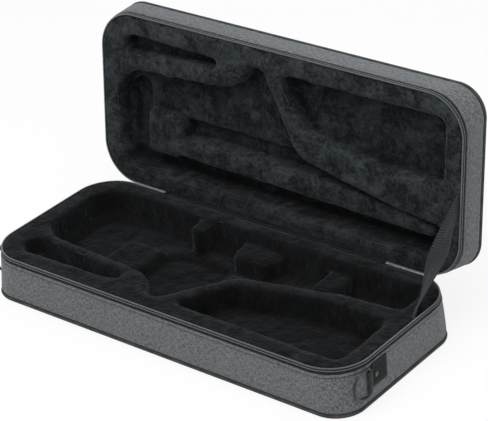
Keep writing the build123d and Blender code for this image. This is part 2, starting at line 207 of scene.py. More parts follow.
class Route:
    """Stations round the wall's outline, clockwise from start_x on the back edge round to -start_x."""

    def __init__(self, start_x, spacing):
        self.start_x = start_x
        self.closed = start_x == 0
        radius = (RIM_RADIUS + PANEL_RADIUS) / 2
        quarter = math.pi / 2
        corners = [(1, 1, 1, quarter), (1, 1, -1, 0), (1, -1, -1, -quarter), (1, -1, 1, -2 * quarter)]
        last, end = (0, 1, 1, quarter), (0, -1, 1, -3 * quarter)
        back = WALL_X - radius - start_x
        runs = [back, 2 * (WALL_Y - radius), 2 * (WALL_X - radius), 2 * (WALL_Y - radius), back]
        rows = []
        for corner, run in zip(corners + [end], runs):
            steps = max(1, round(run / spacing))
            rows += [(*last, *corner, k / steps) for k in range(steps)]
            if corner is end:
                break
            steps = max(8, round(radius * quarter / spacing))
            for k in range(steps):
                place = (*corner[:3], corner[3] - quarter * k / steps)
                rows.append((*place, *place, 0))
            last = (*corner[:3], corner[3] - quarter)
        if not self.closed:
            rows.append((*end, *end, 0))
        table = np.array(rows, float)
        self.first, self.second, self.share = table[:, :4], table[:, 4:8], table[:, 8:]
        middle = self.flat(0, radius)
        self.run = lengths(looped(middle) if self.closed else middle)

    def flat(self, inset, radius):
        """The stations in the rim plane, drawn in from the wall by one inset or by one for each."""
        tight = np.maximum(radius - inset, 0.001)

        def spot(anchor):
            corner, side_x, side_y, angle = anchor.T
            x = side_x * (WALL_X - inset - tight) + tight * np.cos(angle)
            y = side_y * (WALL_Y - inset - tight) + tight * np.sin(angle)
            return np.stack([np.where(corner > 0, x, side_x * self.start_x), y], axis=1)

        return spot(self.first) * (1 - self.share) + spot(self.second) * self.share

    def outward(self):
        """The wall's outward direction at each station."""
        angle = self.first[:, 3]
        return np.stack([np.cos(angle), np.sin(angle)], axis=1)


# Meshes

def linked(name, data):
    """A new object in the scene."""
    made = bpy.data.objects.new(name, data)
    bpy.context.scene.collection.objects.link(made)
    return made


def object_from(name, verts, faces, uvs=None):
    """A new object from points, faces and a cloth map in metres, one pair for each face corner."""
    mesh = bpy.data.meshes.new(name)
    mesh.from_pydata(np.asarray(verts).tolist(), [], [list(map(int, f)) for f in faces])
    if uvs is not None:
        layer = mesh.uv_layers.new(name="cloth")
        layer.data.foreach_set("uv", np.asarray(uvs, np.float32).ravel())
    tidy = bmesh.new()
    tidy.from_mesh(mesh)
    bmesh.ops.recalc_face_normals(tidy, faces=tidy.faces)
    tidy.to_mesh(mesh)
    tidy.free()
    mesh.shade_smooth()
    return linked(name, mesh)


def grid_object(name, grid, along, across, wrap_along=False):
    """A tube from rows of stations that close on the first row. Its ends are closed too unless they meet."""
    rows, count = grid.shape[:2]
    r, c = np.meshgrid(np.arange(rows), np.arange(count if wrap_along else count - 1), indexing="ij")
    r, c = r.ravel(), c.ravel()
    corners = [(r, c), (r, c + 1), (r + 1, c + 1), (r + 1, c)]
    faces = np.stack([(i % rows) * count + j % count for i, j in corners], axis=1).tolist()
    uvs = np.stack([np.stack([along[j], across[i]], axis=-1) for i, j in corners], axis=1)
    uvs = uvs.reshape(-1, 2).tolist()
    if not wrap_along:
        for column in (0, count - 1):
            faces.append([i * count + column for i in range(rows)])
            uvs += [(along[column], across[i]) for i in range(rows)]
    return object_from(name, grid.reshape(-1, 3), faces, uvs)


def swept(name, half, route, profile):
    """A closed band round the wall from pairs of inset and depth, each a number or one for each station."""
    grid = np.array([
        half.place(route.flat(inset, half.radius(np.mean(depth))), depth) for inset, depth in profile
    ])
    means = np.array([[np.mean(inset), np.mean(depth)] for inset, depth in profile])
    return grid_object(name, grid, route.run, lengths(looped(means)), wrap_along=route.closed)


def ring_faces(rings, count):
    """The faces of a closed stack of rings: quads between them, and one face on the first and the last."""
    faces = []
    for ring in range(rings - 1):
        for k in range(count):
            a, b = ring * count + k, ring * count + (k + 1) % count
            faces.append([a, b, b + count, a + count])
    return faces + [[ring * count + k for k in range(count)] for ring in (0, rings - 1)]


def ring_object(name, grid, flats):
    """A closed plate from rings of points, its cloth map laid flat."""
    faces = ring_faces(*grid.shape[:2])
    flats = flats.reshape(-1, 2)
    return object_from(name, grid.reshape(-1, 3), faces, [flats[i] for face in faces for i in face])


def rounded(size, corner, steps=7):
    """The outline of a rectangle with rounded corners."""
    rows = []
    for turn, side in enumerate([(1, 1), (-1, 1), (-1, -1), (1, -1)]):
        for k in range(steps + 1):
            angle = math.pi / 2 * (turn + k / steps)
            rows.append(np.array(side) * (size / 2 - corner)
                        + corner * np.array((math.cos(angle), math.sin(angle))))
    return np.array(rows)


def plate(name, size, corner, layers):
    """A rounded plate in its own X and Y from layers of inset and height."""
    grid = []
    for inset, height in layers:
        flat = rounded(np.array(size) - 2 * inset, max(corner - inset, 0.0002))
        grid.append(np.column_stack([flat, np.full(len(flat), height)]))
    grid = np.array(grid)
    return ring_object(name, grid, grid[..., :2])


def band_section(middle):
    """The section of a flat band with soft edges, from -1 to 1 both ways, with its middle stations given."""
    top = [(-1, 0.3), (-0.97, 0.8), (-0.9, 1), *((u, 1) for u in middle), (0.9, 1), (0.97, 0.8), (1, 0.3)]
    return np.array(top + [(-u, -v) for u, v in top], float)


def spindle(sides, stations):
    """A closed template round its X axis: one ring for each (x, radius across, radius up)."""
    verts = []
    for x, wide, high in stations:
        for k in range(sides):
            angle = 2 * math.pi * k / sides
            verts.append((x, wide * math.cos(angle), high * math.sin(angle)))
    return np.array(verts), ring_faces(len(stations), sides)


def repeated(name, template, faces, places, frames):
    """Copies of a small template, one at each place, turned by that place's frame of three columns."""
    copies = places[:, None, :] + np.einsum("nij,tj->nti", frames, template)
    count = len(template)
    every = [[n * count + i for i in face] for n in range(len(places)) for face in faces]
    return object_from(name, copies.reshape(-1, 3), every)


def spaced(points, outward, pitch):
    """Places one pitch apart along a chain of points, with the chain's and the outward direction at each."""
    run = lengths(points)
    marks = np.arange(pitch / 2, run[-1], pitch)

    def at(stations, rows):
        return np.stack([np.interp(stations, run, rows[:, i]) for i in range(3)], axis=1)

    way = at(marks + pitch / 4, points) - at(marks - pitch / 4, points)
    return at(marks, points), unit(way), at(marks, outward)


def stitched(name, points, outward, pitch, share, thickness):
    """A row of stitches along a chain of points, each lying on the cloth whose outward side is given."""
    places, way, up = spaced(points, outward, pitch)
    up = unit(up - way * np.sum(up * way, axis=1)[:, None])
    reach, radius = pitch * share / 2, thickness / 2
    thick, thin = (radius, radius * 0.8), (radius * 0.45, radius * 0.3)
    template, faces = spindle(6, [
        (-reach, *thin), (-reach * 0.6, *thick), (reach * 0.6, *thick), (reach, *thin),
    ])
    return repeated(name, template, faces, places, np.stack([way, np.cross(up, way), up], axis=2))


def sew(name, body, slot, thread, *row):
    """A row of stitches in that thread, fixed to a body."""
    dress(stitched(name, *row), body, slot, thread)


def dress(piece, body, slot, material, *replaced):
    """Gives a piece its material and its body, and hides the CAD nodes that it stands for."""
    piece.data.materials.clear()
    piece.data.materials.append(material)
    if replaced:
        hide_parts(*replaced)
    if body:
        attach(piece, body)


def finish_node(name, material):
    """Gives a CAD node that is shown as it is its material."""
    slots = frame["nodes"][name].data.materials
    slots.clear()
    slots.append(material)


# Materials

def add(tree, kind, inputs=None, **settings):
    """Adds a node, with its settings, and its inputs linked or filled."""
    made = tree.nodes.new(kind)
    for key, value in settings.items():
        setattr(made, key, value)
    for key, value in (inputs or {}).items():
        if isinstance(value, bpy.types.NodeSocket):
            tree.links.new(value, made.inputs[key])
        else:
            made.inputs[key].default_value = value
    return made


def get_material(name, colour, roughness, pattern, **inputs):
    """The material of that name. On its first use its plain values go on the shader's own sockets, and
    its pattern is added."""
    if name not in bpy.data.materials:
        made = bpy.data.materials.new(name)
        made.use_nodes = True
        shader = made.node_tree.nodes["Principled BSDF"]
        shader.inputs["Base Color"].default_value = linear(colour)
        shader.inputs["Roughness"].default_value = roughness
        for key, value in inputs.items():
            shader.inputs[key.replace("_", " ")].default_value = value
        pattern(made.node_tree, shader)
    return bpy.data.materials[name]


def maths(tree, operation, *values, **settings):
    """One sum, product or the like of numbers and sockets."""
    return add(tree, "ShaderNodeMath", dict(enumerate(values)), operation=operation, **settings).outputs[0]


def ranged(tree, value, low, high, least=0.0, most=1.0):
    """A value moved from one range to another, and held inside it."""
    return add(tree, "ShaderNodeMapRange", {
        "Value": value, "From Min": low, "From Max": high, "To Min": least, "To Max": most}).outputs[0]


def mixed(tree, factor, first, second):
    """Two colours mixed by a factor between 0 and 1."""
    return add(tree, "ShaderNodeMix", {0: factor, 6: first, 7: second}, data_type="RGBA",
               clamp_factor=True).outputs[2]


def object_place(tree):
    """The place on the object, in metres."""
    return add(tree, "ShaderNodeTexCoord").outputs["Object"]


def noise_at(tree, place, size, detail, **more):
    """Noise in the round, with bumps of about that size."""
    return add(tree, "ShaderNodeTexNoise", {
        "Vector": place, "Scale": 1 / size, "Detail": detail, **more}).outputs[0]


def cells_at(tree, place, size):
    """Cells in the round, of about that size."""
    return add(tree, "ShaderNodeTexVoronoi", {"Vector": place, "Scale": 1 / size}).outputs[0]


def cloth_noise(tree, across, along, detail=2.0):
    """Noise on the cloth map, with bumps of about across and along metres."""
    source = add(tree, "ShaderNodeUVMap", uv_map="cloth").outputs[0]
    place = add(tree, "ShaderNodeVectorMath", {0: source, 1: (1 / along, 1 / across, 1)},
                operation="MULTIPLY").outputs[0]
    return add(tree, "ShaderNodeTexNoise", {"Vector": place, "Scale": 1.0, "Detail": detail},
               noise_dimensions="2D").outputs[0]


def cloth_parts(tree):
    """The cloth map's two coordinates, along and across, in metres."""
    source = add(tree, "ShaderNodeUVMap", uv_map="cloth").outputs[0]
    return add(tree, "ShaderNodeSeparateXYZ", {0: source}).outputs[:2]


def wave(tree, coordinate, pitch):
    """A sine along a coordinate in metres, from -1 to 1, that repeats each pitch."""
    return maths(tree, "SINE", maths(tree, "MULTIPLY", coordinate, 2 * math.pi / pitch))


def paint(tree, shader, colour):
    """Gives the shader a patterned colour."""
    tree.links.new(colour, shader.inputs["Base Color"])


def two_tone(tree, shader, tone, first, second):
    """Gives the shader a pattern between two hex colours."""
    paint(tree, shader, mixed(tree, tone, linear(first), linear(second)))


def raise_surface(tree, shader, height, distance):
    """Bumps the shader's surface by a height."""
    bump = add(tree, "ShaderNodeBump", {"Height": height, "Distance": distance, "Strength": 1.0})
    tree.links.new(bump.outputs[0], shader.inputs["Normal"])


def heather_cloth(settings):
    """Polyester canvas woven from pale and dark grey threads, so the eye sees a fine melange."""
    def pattern(tree, shader):
        # Slubs: threads of about 0.5 mm that keep one shade for 6 to 7 mm, drawn 1.1 mm wide to show
        slubs = maths(tree, "ADD", cloth_noise(tree, 0.0060, 0.0011), cloth_noise(tree, 0.0011, 0.0070))
        dark, light = linear(settings.cloth_dark), linear(settings.cloth_light)
        threads = mixed(tree, ranged(tree, slubs, 0.78, 1.22), dark, light)
        worn = ranged(tree, cloth_noise(tree, 0.05, 0.05, detail=3.0), 0.3, 0.7, 0.0, 0.14)
        paint(tree, shader, mixed(tree, worn, threads, light))
        # Plain weave, its threads 1.2 mm apart
        along, across = cloth_parts(tree)
        weave = maths(tree, "MULTIPLY", wave(tree, along, 0.0012), wave(tree, across, 0.0012))
        raise_surface(tree, shader, maths(tree, "MULTIPLY_ADD", weave, 0.35, slubs), 0.00025)

    return get_material("Woven polyester melange", settings.cloth_dark, 0.85, pattern,
                    Specular_IOR_Level=0.25, Sheen_Weight=0.15, Sheen_Roughness=0.5)


def velour_plush(settings):
    """Knitted polyester with a brushed 3 mm pile: matt and deep, paler where it stands up or turns to the
    side. The linings' attribute of painted shade darkens it below the land, in creases, towards the lid's
    hinge and, on the tray, all over."""
    def pattern(tree, shader):
        # Pile lying this way and that leaves clouds 20 to 40 mm across, and clumped tufts are 5 mm apart
        place = object_place(tree)
        lay = noise_at(tree, place, 0.034, 4.0, Roughness=0.62, Distortion=0.7)
        tufts = noise_at(tree, place, 0.0052, 3.0, Roughness=0.6, Distortion=0.4)
        tone = maths(tree, "ADD", ranged(tree, lay, 0.36, 0.64, 0.0, 0.85),
                     ranged(tree, tufts, 0.32, 0.68, -0.38, 0.42))
        pile = mixed(tree, tone, linear(settings.pile_dark), linear(settings.pile_light))
        # Painted shade: the linings' attribute mixes the pile towards its darkest colour
        painted_shade = add(tree, "ShaderNodeAttribute", attribute_name="painted_shade").outputs["Fac"]
        paint(tree, shader, mixed(tree, painted_shade, pile, linear(settings.pile_painted_shade)))
        raise_surface(tree, shader, maths(tree, "MULTIPLY_ADD", lay, 1.4, tufts), 0.0022)

    return get_material("Brushed polyester plush", settings.pile_dark, 1.0, pattern, Specular_IOR_Level=0.08,
                    Sheen_Weight=settings.pile_sheen, Sheen_Roughness=0.42,
                    Sheen_Tint=linear(settings.pile_glow))


def woven_band(name, dark, light, rib, slub):
    """Narrow woven polyester with ribs across it, which the eye sees as fine dark lines: zip tape, piping
    and hinge cloth."""
    def pattern(tree, shader):
        ribs = wave(tree, cloth_parts(tree)[0], rib)
        uneven = maths(tree, "MULTIPLY_ADD", ribs, 0.22, cloth_noise(tree, slub / 4, slub))
        two_tone(tree, shader, ranged(tree, uneven, 0.2, 0.8), dark, light)
        raise_surface(tree, shader, ribs, 0.0003)

    return get_material(name, dark, 0.75, pattern, Specular_IOR_Level=0.15)


def zip_tape_cloth(settings):
    """The zip's tape and the cord in its coil, woven in one piece."""
    return woven_band("Woven zip tape", settings.tape, settings.tape_light, 0.0026, 0.01)


def webbing_weave(settings):
    """Polypropylene webbing in a herringbone of ribs, with the slight shine of extruded fibre. The ribs
    are drawn 3.8 mm apart so that they show."""
    def pattern(tree, shader):
        # The ribs lean to and fro every 7 mm across the band
        along, across = cloth_parts(tree)
        slope = maths(tree, "ADD", maths(tree, "PINGPONG", across, 0.007), along)
        ribs = wave(tree, slope, 0.0038)
        two_tone(tree, shader, ranged(tree, ribs, -1.0, 1.0), settings.webbing_dark, settings.webbing_light)
        raise_surface(tree, shader, ribs, 0.0006)

    return get_material("Woven polypropylene webbing", settings.webbing_dark, 0.65, pattern,
                    Specular_IOR_Level=0.25, Sheen_Weight=0.1, Sheen_Roughness=0.4)


def grained_leather(settings):
    """Split leather with a pressed grain of 1.5 mm cells and a dull black finish, scuffed grey in places."""
    def pattern(tree, shader):
        place = object_place(tree)
        scuffs = ranged(tree, noise_at(tree, place, 0.006, 4.0), 0.5, 0.75, 0.0, 0.6)
        two_tone(tree, shader, scuffs, settings.leather, settings.leather_worn)
        raise_surface(tree, shader, cells_at(tree, place, 0.0015), 0.0002)

    return get_material("Pressed grain leather", settings.leather, 0.7, pattern, Specular_IOR_Level=0.1)


def coil_nylon(settings):
    """Nylon monofilament, heat set: smooth and slightly glossy, so each tooth has a small highlight."""
    def pattern(tree, shader):
        dust = noise_at(tree, object_place(tree), 0.02, 4.0)
        tree.links.new(ranged(tree, dust, 0.3, 0.7, 0.26, 0.45), shader.inputs["Roughness"])

    return get_material("Drawn nylon coil", settings.teeth, 0.32, pattern, IOR=1.53)


def spun_thread(name, colour):
    """Spun polyester sewing thread, matt with a faint twist."""
    def pattern(tree, shader):
        raise_surface(tree, shader, noise_at(tree, object_place(tree), 0.0008, 1.0), 0.0001)

    return get_material(name, colour, 0.7, pattern, Sheen_Weight=0.3, Sheen_Roughness=0.4)


def black_nickel(settings):
    """Zinc casting plated in black nickel: dark metal, bright at its rounded edges, finely pitted."""
    def pattern(tree, shader):
        place = object_place(tree)
        handled = noise_at(tree, place, 0.008, 5.0)
        tree.links.new(ranged(tree, handled, 0.3, 0.7, 0.24, 0.48), shader.inputs["Roughness"])
        raise_surface(tree, shader, noise_at(tree, place, 0.0009, 2.0), 0.00005)

    return get_material("Black nickel plated zinc", settings.metal, 0.34, pattern, Metallic=0.7,
                    Coat_Weight=0.6, Coat_Roughness=0.1)


def black_enamel(settings):
    """Zinc casting under baked black enamel: dark and even, with a soft, broad shine."""
    def pattern(tree, shader):
        orange_peel = noise_at(tree, object_place(tree), 0.0015, 1.0)
        raise_surface(tree, shader, orange_peel, 0.00004)

    return get_material("Black enamelled zinc", settings.enamel, 0.5, pattern, Specular_IOR_Level=0.3)


def moulded_foam(settings):
    """Expanded polystyrene, steam moulded: matt beads of about 3 mm pressed together."""
    def pattern(tree, shader):
        beads = cells_at(tree, object_place(tree), 0.003)
        two_tone(tree, shader, ranged(tree, beads, 0.0, 0.9), settings.foam_light, settings.foam_dark)
        raise_surface(tree, shader, beads, 0.0003)

    return get_material("Moulded expanded polystyrene", settings.foam_dark, 0.9, pattern)


# Sizes and colours that a user would change

def size_prop(name, description, default):
    """A setting in metres."""
    return bpy.props.FloatProperty(name=name, description=description, default=default, unit="LENGTH")


def share_prop(name, description, default):
    """A setting from 0 to 1."""
    return bpy.props.FloatProperty(name=name, description=description, default=default, min=0, max=1)


def angle_prop(name, description, degrees):
    """An angle, its default given in degrees."""
    return bpy.props.FloatProperty(
        name=name, description=description, default=math.radians(degrees), subtype="ANGLE")


def colour_prop(name, thing, default):
    """The colour of a thing, as sRGB hex."""
    return bpy.props.StringProperty(name=name, description=f"sRGB hex of {thing}", default=default)


class CoverSettings(bpy.types.PropertyGroup):
    """The cloth cover."""
    cloth_dark: colour_prop("Dark thread", "the cover's dark threads", "#373a3b")
    cloth_light: colour_prop("Pale thread", "the cover's pale threads", "#74787a")
    crown: size_prop("Wall crown", "How far the side cloth swells between its seams", 0.0009)
    panel_crown: size_prop("Panel crown", "How far the lid's outer panel swells in its middle", 0.0025)
    stitch_pitch: size_prop("Stitch pitch", "Distance from stitch to stitch", 0.0042)
    seam_depth: size_prop("Seam depth", "Depth of the seam beside the zip, below the rim", 0.0152)
    piping_groove: size_prop("Piping groove", "Dark gap between the side cloth and the piping", 0.0013)
    thread: colour_prop("Thread", "the sewing thread", "#17181a")


class PlushSettings(bpy.types.PropertyGroup):
    """The plush lining, and the foam under it."""
    voxel: size_prop("Grid", "Grid of the lining's remesh", 0.0026)
    smoothing: bpy.props.IntProperty(
        name="Smoothing", description="Passes that round the pockets' edges", default=30, min=0, max=60)
    pile: size_prop("Pile", "How far the plush stands off the foam", 0.0030)
    swell: size_prop("Swell", "Height of the soft waves in the lining", 0.0018)
    pile_least: size_prop("Least pile", "Least height of the plush over the foam's edges", 0.0012)
    # Painted shade in the pile's colour: how much it grows below the land in each half, how much darker the
    # tray's pile is all over, how much the lid's pile darkens towards the hinge, and the depth by which most
    # of it is reached
    tray_shade: share_prop("Tray shade", "How much the tray's pile darkens below the land", 0.9)
    tray_darkening: share_prop(
        "Tray darkening", "How much darker the tray's pile is all over, fitted to the photograph", 0.90)
    lid_shade: share_prop("Lid shade", "How much the lid's pile darkens below the land", 0.38)
    hinge_shade: share_prop("Hinge shade", "How much the lid's pile darkens towards the hinge", 0.55)
    shade_depth: size_prop("Shade depth", "Depth by which most of that darkening is reached", 0.011)
    pile_dark: colour_prop("Dark pile", "lying pile", "#141618")
    pile_light: colour_prop("Pale pile", "raised pile", "#373c3e")
    # The colour that the painted shade darkens the pile towards
    pile_painted_shade: colour_prop("Pile in painted shade", "the pile at the bottom of the pockets", "#0c0b0c")
    pile_glow: colour_prop("Pile glow", "the light that glances off the pile", "#90979a")
    pile_sheen: share_prop("Pile sheen", "Weight of the pile's glancing light", 0.30)
    foam_dark: colour_prop("Foam shade", "the seams between the foam's beads", "#202123")
    foam_light: colour_prop("Foam", "the foam's beads", "#343537")


class TrimSettings(bpy.types.PropertyGroup):
    """Piping, zip, webbing, leather and metal."""
    piping_dark: colour_prop("Piping shade", "the gaps between the piping's ribs", "#2b2c2d")
    piping_light: colour_prop("Piping", "the piping's ribs", "#505253")
    rib_pitch: size_prop("Rib pitch", "Distance between the piping's ribs", 0.0026)
    tape: colour_prop("Zip tape", "the zip tape", "#131415")
    tape_light: colour_prop("Zip tape's ribs", "the zip tape's ribs", "#2b2f30")
    tape_thread: colour_prop("Zip thread", "the thread that holds the coil", "#85898a")
    hinge_light: colour_prop("Hinge's ribs", "the ribs of the hinge's cloth", "#1c1d1f")
    teeth: colour_prop("Zip teeth", "the zip's coil", "#6c6f71")
    tooth_pitch: size_prop("Tooth pitch", "Distance between the zip's teeth", 0.0020)
    webbing_dark: colour_prop("Webbing shade", "the gaps between the webbing's ribs", "#121415")
    webbing_light: colour_prop("Webbing", "the webbing's ribs", "#363a3c")
    stay_width: size_prop("Stay width", "Width of the stay's webbing", 0.025)
    leather: colour_prop("Leather", "the patches", "#1c1f20")
    leather_worn: colour_prop("Worn leather", "the patches' scuffs", "#2a2d2e")
    patch_thread: colour_prop("Patch thread", "the thread round the patches", "#313435")
    metal: colour_prop("Metal", "the plated fittings", "#1c1d1f")
    enamel: colour_prop("Enamel", "the enamelled fittings", "#121314")


class StageSettings(bpy.types.PropertyGroup):
    """Camera, light and floor."""
    azimuth: angle_prop("Azimuth", "Camera's turn from the front", 40.17)
    elevation: angle_prop("Elevation", "Camera's height angle", 28.57)
    roll: angle_prop("Roll", "Camera's lean", -4.55)
    distance: size_prop("Distance", "Camera's distance from its target", 2.703)
    lens: bpy.props.FloatProperty(
        name="Lens", description="Focal length for a 36 mm sensor, in millimetres", default=157.5)
    target: bpy.props.FloatVectorProperty(
        name="Target", description="Point that the camera looks at", default=(0.2460, -0.2379, 0.3702),
        subtype="TRANSLATION")
    shift: bpy.props.FloatVectorProperty(
        name="Shift", description="Picture's shift right and up, as shares of its width", size=2,
        default=(0.0247, -0.0194))
    sky: bpy.props.FloatProperty(
        name="Sky", description="Strength of the soft light from all round", default=0.62, min=0)
    lamp: bpy.props.FloatProperty(
        name="Lamp", description="Power of the overhead soft box, in watts", default=60.0, min=0)
    lamp_width: size_prop("Lamp width", "Width of the overhead soft box", 2.4)
    floor_colour: colour_prop("Floor", "the floor", "#ececea")
    floor_white: share_prop("Floor white", "How much of plain white the camera sees in the floor", 0.84)


class CaseSettings(bpy.types.PropertyGroup):
    """All the case's settings."""
    covers: bpy.props.PointerProperty(type=CoverSettings)
    plush: bpy.props.PointerProperty(type=PlushSettings)
    trim: bpy.props.PointerProperty(type=TrimSettings)
    stage: bpy.props.PointerProperty(type=StageSettings)


# The pieces

class CASE_OT_foam(bpy.types.Operator):
    """Finish the two foam halves that carry the lining and the covers"""
    bl_idname = "case.foam"
    bl_label = "Foam halves"

    def execute(self, context):
        for body in HALVES:
            finish_node(f"{body}_shell", moulded_foam(context.scene.case.plush))
        return {"FINISHED"}


class CASE_OT_plush(bpy.types.Operator):
    """Lay the plush over the land and down into every pocket of both halves"""
    bl_idname = "case.plush"
    bl_label = "Plush linings"

    def execute(self, context):
        settings = context.scene.case.plush
        for seed, body in enumerate(HALVES):
            self.lining(Half(body), settings, seed + 1)
        return {"FINISHED"}

    def lining(self, half, settings, seed):
        """One lining: the foam's face, its edges rounded, raised by the pile and gently uneven."""
        foam = frame["nodes"][f"{half.body}_shell"].data
        mesh = self.softened(foam, settings)
        points, normals = vectors(mesh.vertices, "co"), vectors(mesh.vertex_normals, "vector")
        raised = points + normals * settings.pile
        for size, share, step in ((0.020, 1, 0), (0.008, 0.45, 2)):
            raised += normals * (wander(points, size, seed + step) * settings.swell * share)[:, None]
        for axis in range(3):
            raised[:, axis] += wander(points, 0.045, seed + 4 + axis) * settings.swell
        raised = self.clear_of(foam, raised, settings.pile_least)
        x, y, depth = half.local(raised)
        depth = np.maximum(depth, RIM_GAP)
        flat, inset = self.held_in(np.stack([x, y], axis=1))
        raised = half.place(flat, depth)
        mesh.vertices.foreach_set("co", raised.astype(np.float32).ravel())
        mesh.update()

        # Painted shade in the pile's colour, growing with depth below the land; lean makes the tray's pile
        # darker all over
        lean, shade = 0.0, settings.lid_shade
        if half.body == "tray":
            lean, shade = settings.tray_darkening, settings.tray_shade
        painted_shade_by_place = lean + shade * (1 - np.exp(-depth / settings.shade_depth))
        if half.body == "lid":
            # The photograph's lower land darkens towards the hinge; painted shade darkens the pile's colour
            # there, growing towards the hinge
            painted_shade_by_place += settings.hinge_shade * np.clip((flat[:, 1] - HINGE_SHADE_START) / HINGE_SHADE_WIDTH, 0, 1)
        # The painted shade goes to the plush material as a point attribute
        painted_shade = mesh.attributes.new("painted_shade", "FLOAT", "POINT")
        painted_shade.data.foreach_set("value", self.painted_shade(mesh, raised, painted_shade_by_place).astype(np.float32))

        on_wall = (inset < 0.008) & (depth > 0.0055)
        on_panel = depth > half.height - 0.0065
        self.cut_away(mesh, on_wall | on_panel)
        piece = linked(f"{half.body}_plush", mesh)
        if sum(p.normal.dot(Vector(half.into)) * p.area for p in mesh.polygons) > 0:
            mesh.flip_normals()
        backing = piece.modifiers.new("Backing", "SOLIDIFY")
        backing.thickness, backing.offset = 0.0014, -1
        dress(piece, half.body, "plush", velour_plush(settings), f"{half.body}_lining")

    def softened(self, foam, settings):
        """A copy of the foam's mesh on an even grid, its edges rounded."""
        rough = linked("rough", foam.copy())
        remesh = rough.modifiers.new("Even grid", "REMESH")
        remesh.mode, remesh.voxel_size = "VOXEL", settings.voxel
        smooth = rough.modifiers.new("Round edges", "SMOOTH")
        smooth.factor, smooth.iterations = 0.5, settings.smoothing
        shown = rough.evaluated_get(bpy.context.evaluated_depsgraph_get())
        mesh = bpy.data.meshes.new_from_object(shown)
        bpy.data.objects.remove(rough)
        return mesh

    def clear_of(self, foam, points, least):
        """Lifts points that have come too near the foam, or into it."""
        corners = [v.co for v in foam.vertices]
        tree = BVHTree.FromPolygons(corners, [tuple(p.vertices) for p in foam.polygons])
        lifted = points.copy()
        for i, point in enumerate(points):
            nearest, normal, _, distance = tree.find_nearest(point)
            if distance < least or (Vector(point) - nearest).dot(normal) < 0:
                lifted[i] = nearest + normal * least
        return lifted

    def held_in(self, flat):
        """Keeps places inside the row of teeth, and gives how far each lies in from the wall."""
        straight = np.array((WALL_X, WALL_Y)) - RIM_RADIUS
        gap = np.abs(flat) - straight
        nearer = gap.max(axis=1)
        corner = gap.min(axis=1) > 0
        reach = np.where(corner, np.hypot(*gap.T), nearer)
        limit = RIM_RADIUS - TEETH_BACK
        pull = np.where(reach > limit, limit / np.maximum(reach, 1e-6), 1.0)
        pulled = (gap > 0) & (corner[:, None] | (gap == nearer[:, None]))
        return np.sign(flat) * (straight + gap * np.where(pulled, pull[:, None], 1.0)), RIM_RADIUS - reach

    def painted_shade(self, mesh, points, painted_shade_by_place):
        """How much painted shade the pile's colour gets: least on the land, most in the pockets' creases, a
        little less on ridges, and at most 0.9.
        """
        ends = np.zeros(len(mesh.edges) * 2, np.int64)
        mesh.edges.foreach_get("vertices", ends)
        first, second = ends.reshape(-1, 2).T
        count = len(points)
        near = np.bincount(first, minlength=count) + np.bincount(second, minlength=count)
        smooth = points
        for _ in range(10):
            total = np.stack([
                np.bincount(first, smooth[second, i], count) + np.bincount(second, smooth[first, i], count)
                for i in range(3)
            ], axis=1)
            smooth = total / np.maximum(near, 1)[:, None]
        # Painted shade in the creases: hollows darken the pile's colour, and ridges take a little of the
        # shade away
        hollow = np.sum((smooth - points) * vectors(mesh.vertex_normals, "vector"), axis=1)
        return np.minimum(painted_shade_by_place + np.clip(hollow / CREASE_SHADE_DEPTH, -0.3, 0.6), 0.9)

    def cut_away(self, mesh, hidden):
        """Takes away the points that would lie on the foam's outer sides."""
        cut = bmesh.new()
        cut.from_mesh(mesh)
        cut.verts.ensure_lookup_table()
        bmesh.ops.delete(cut, geom=[cut.verts[i] for i in np.flatnonzero(hidden)], context="VERTS")
        bmesh.ops.recalc_face_normals(cut, faces=cut.faces)
        cut.to_mesh(mesh)
        cut.free()
        mesh.shade_smooth()


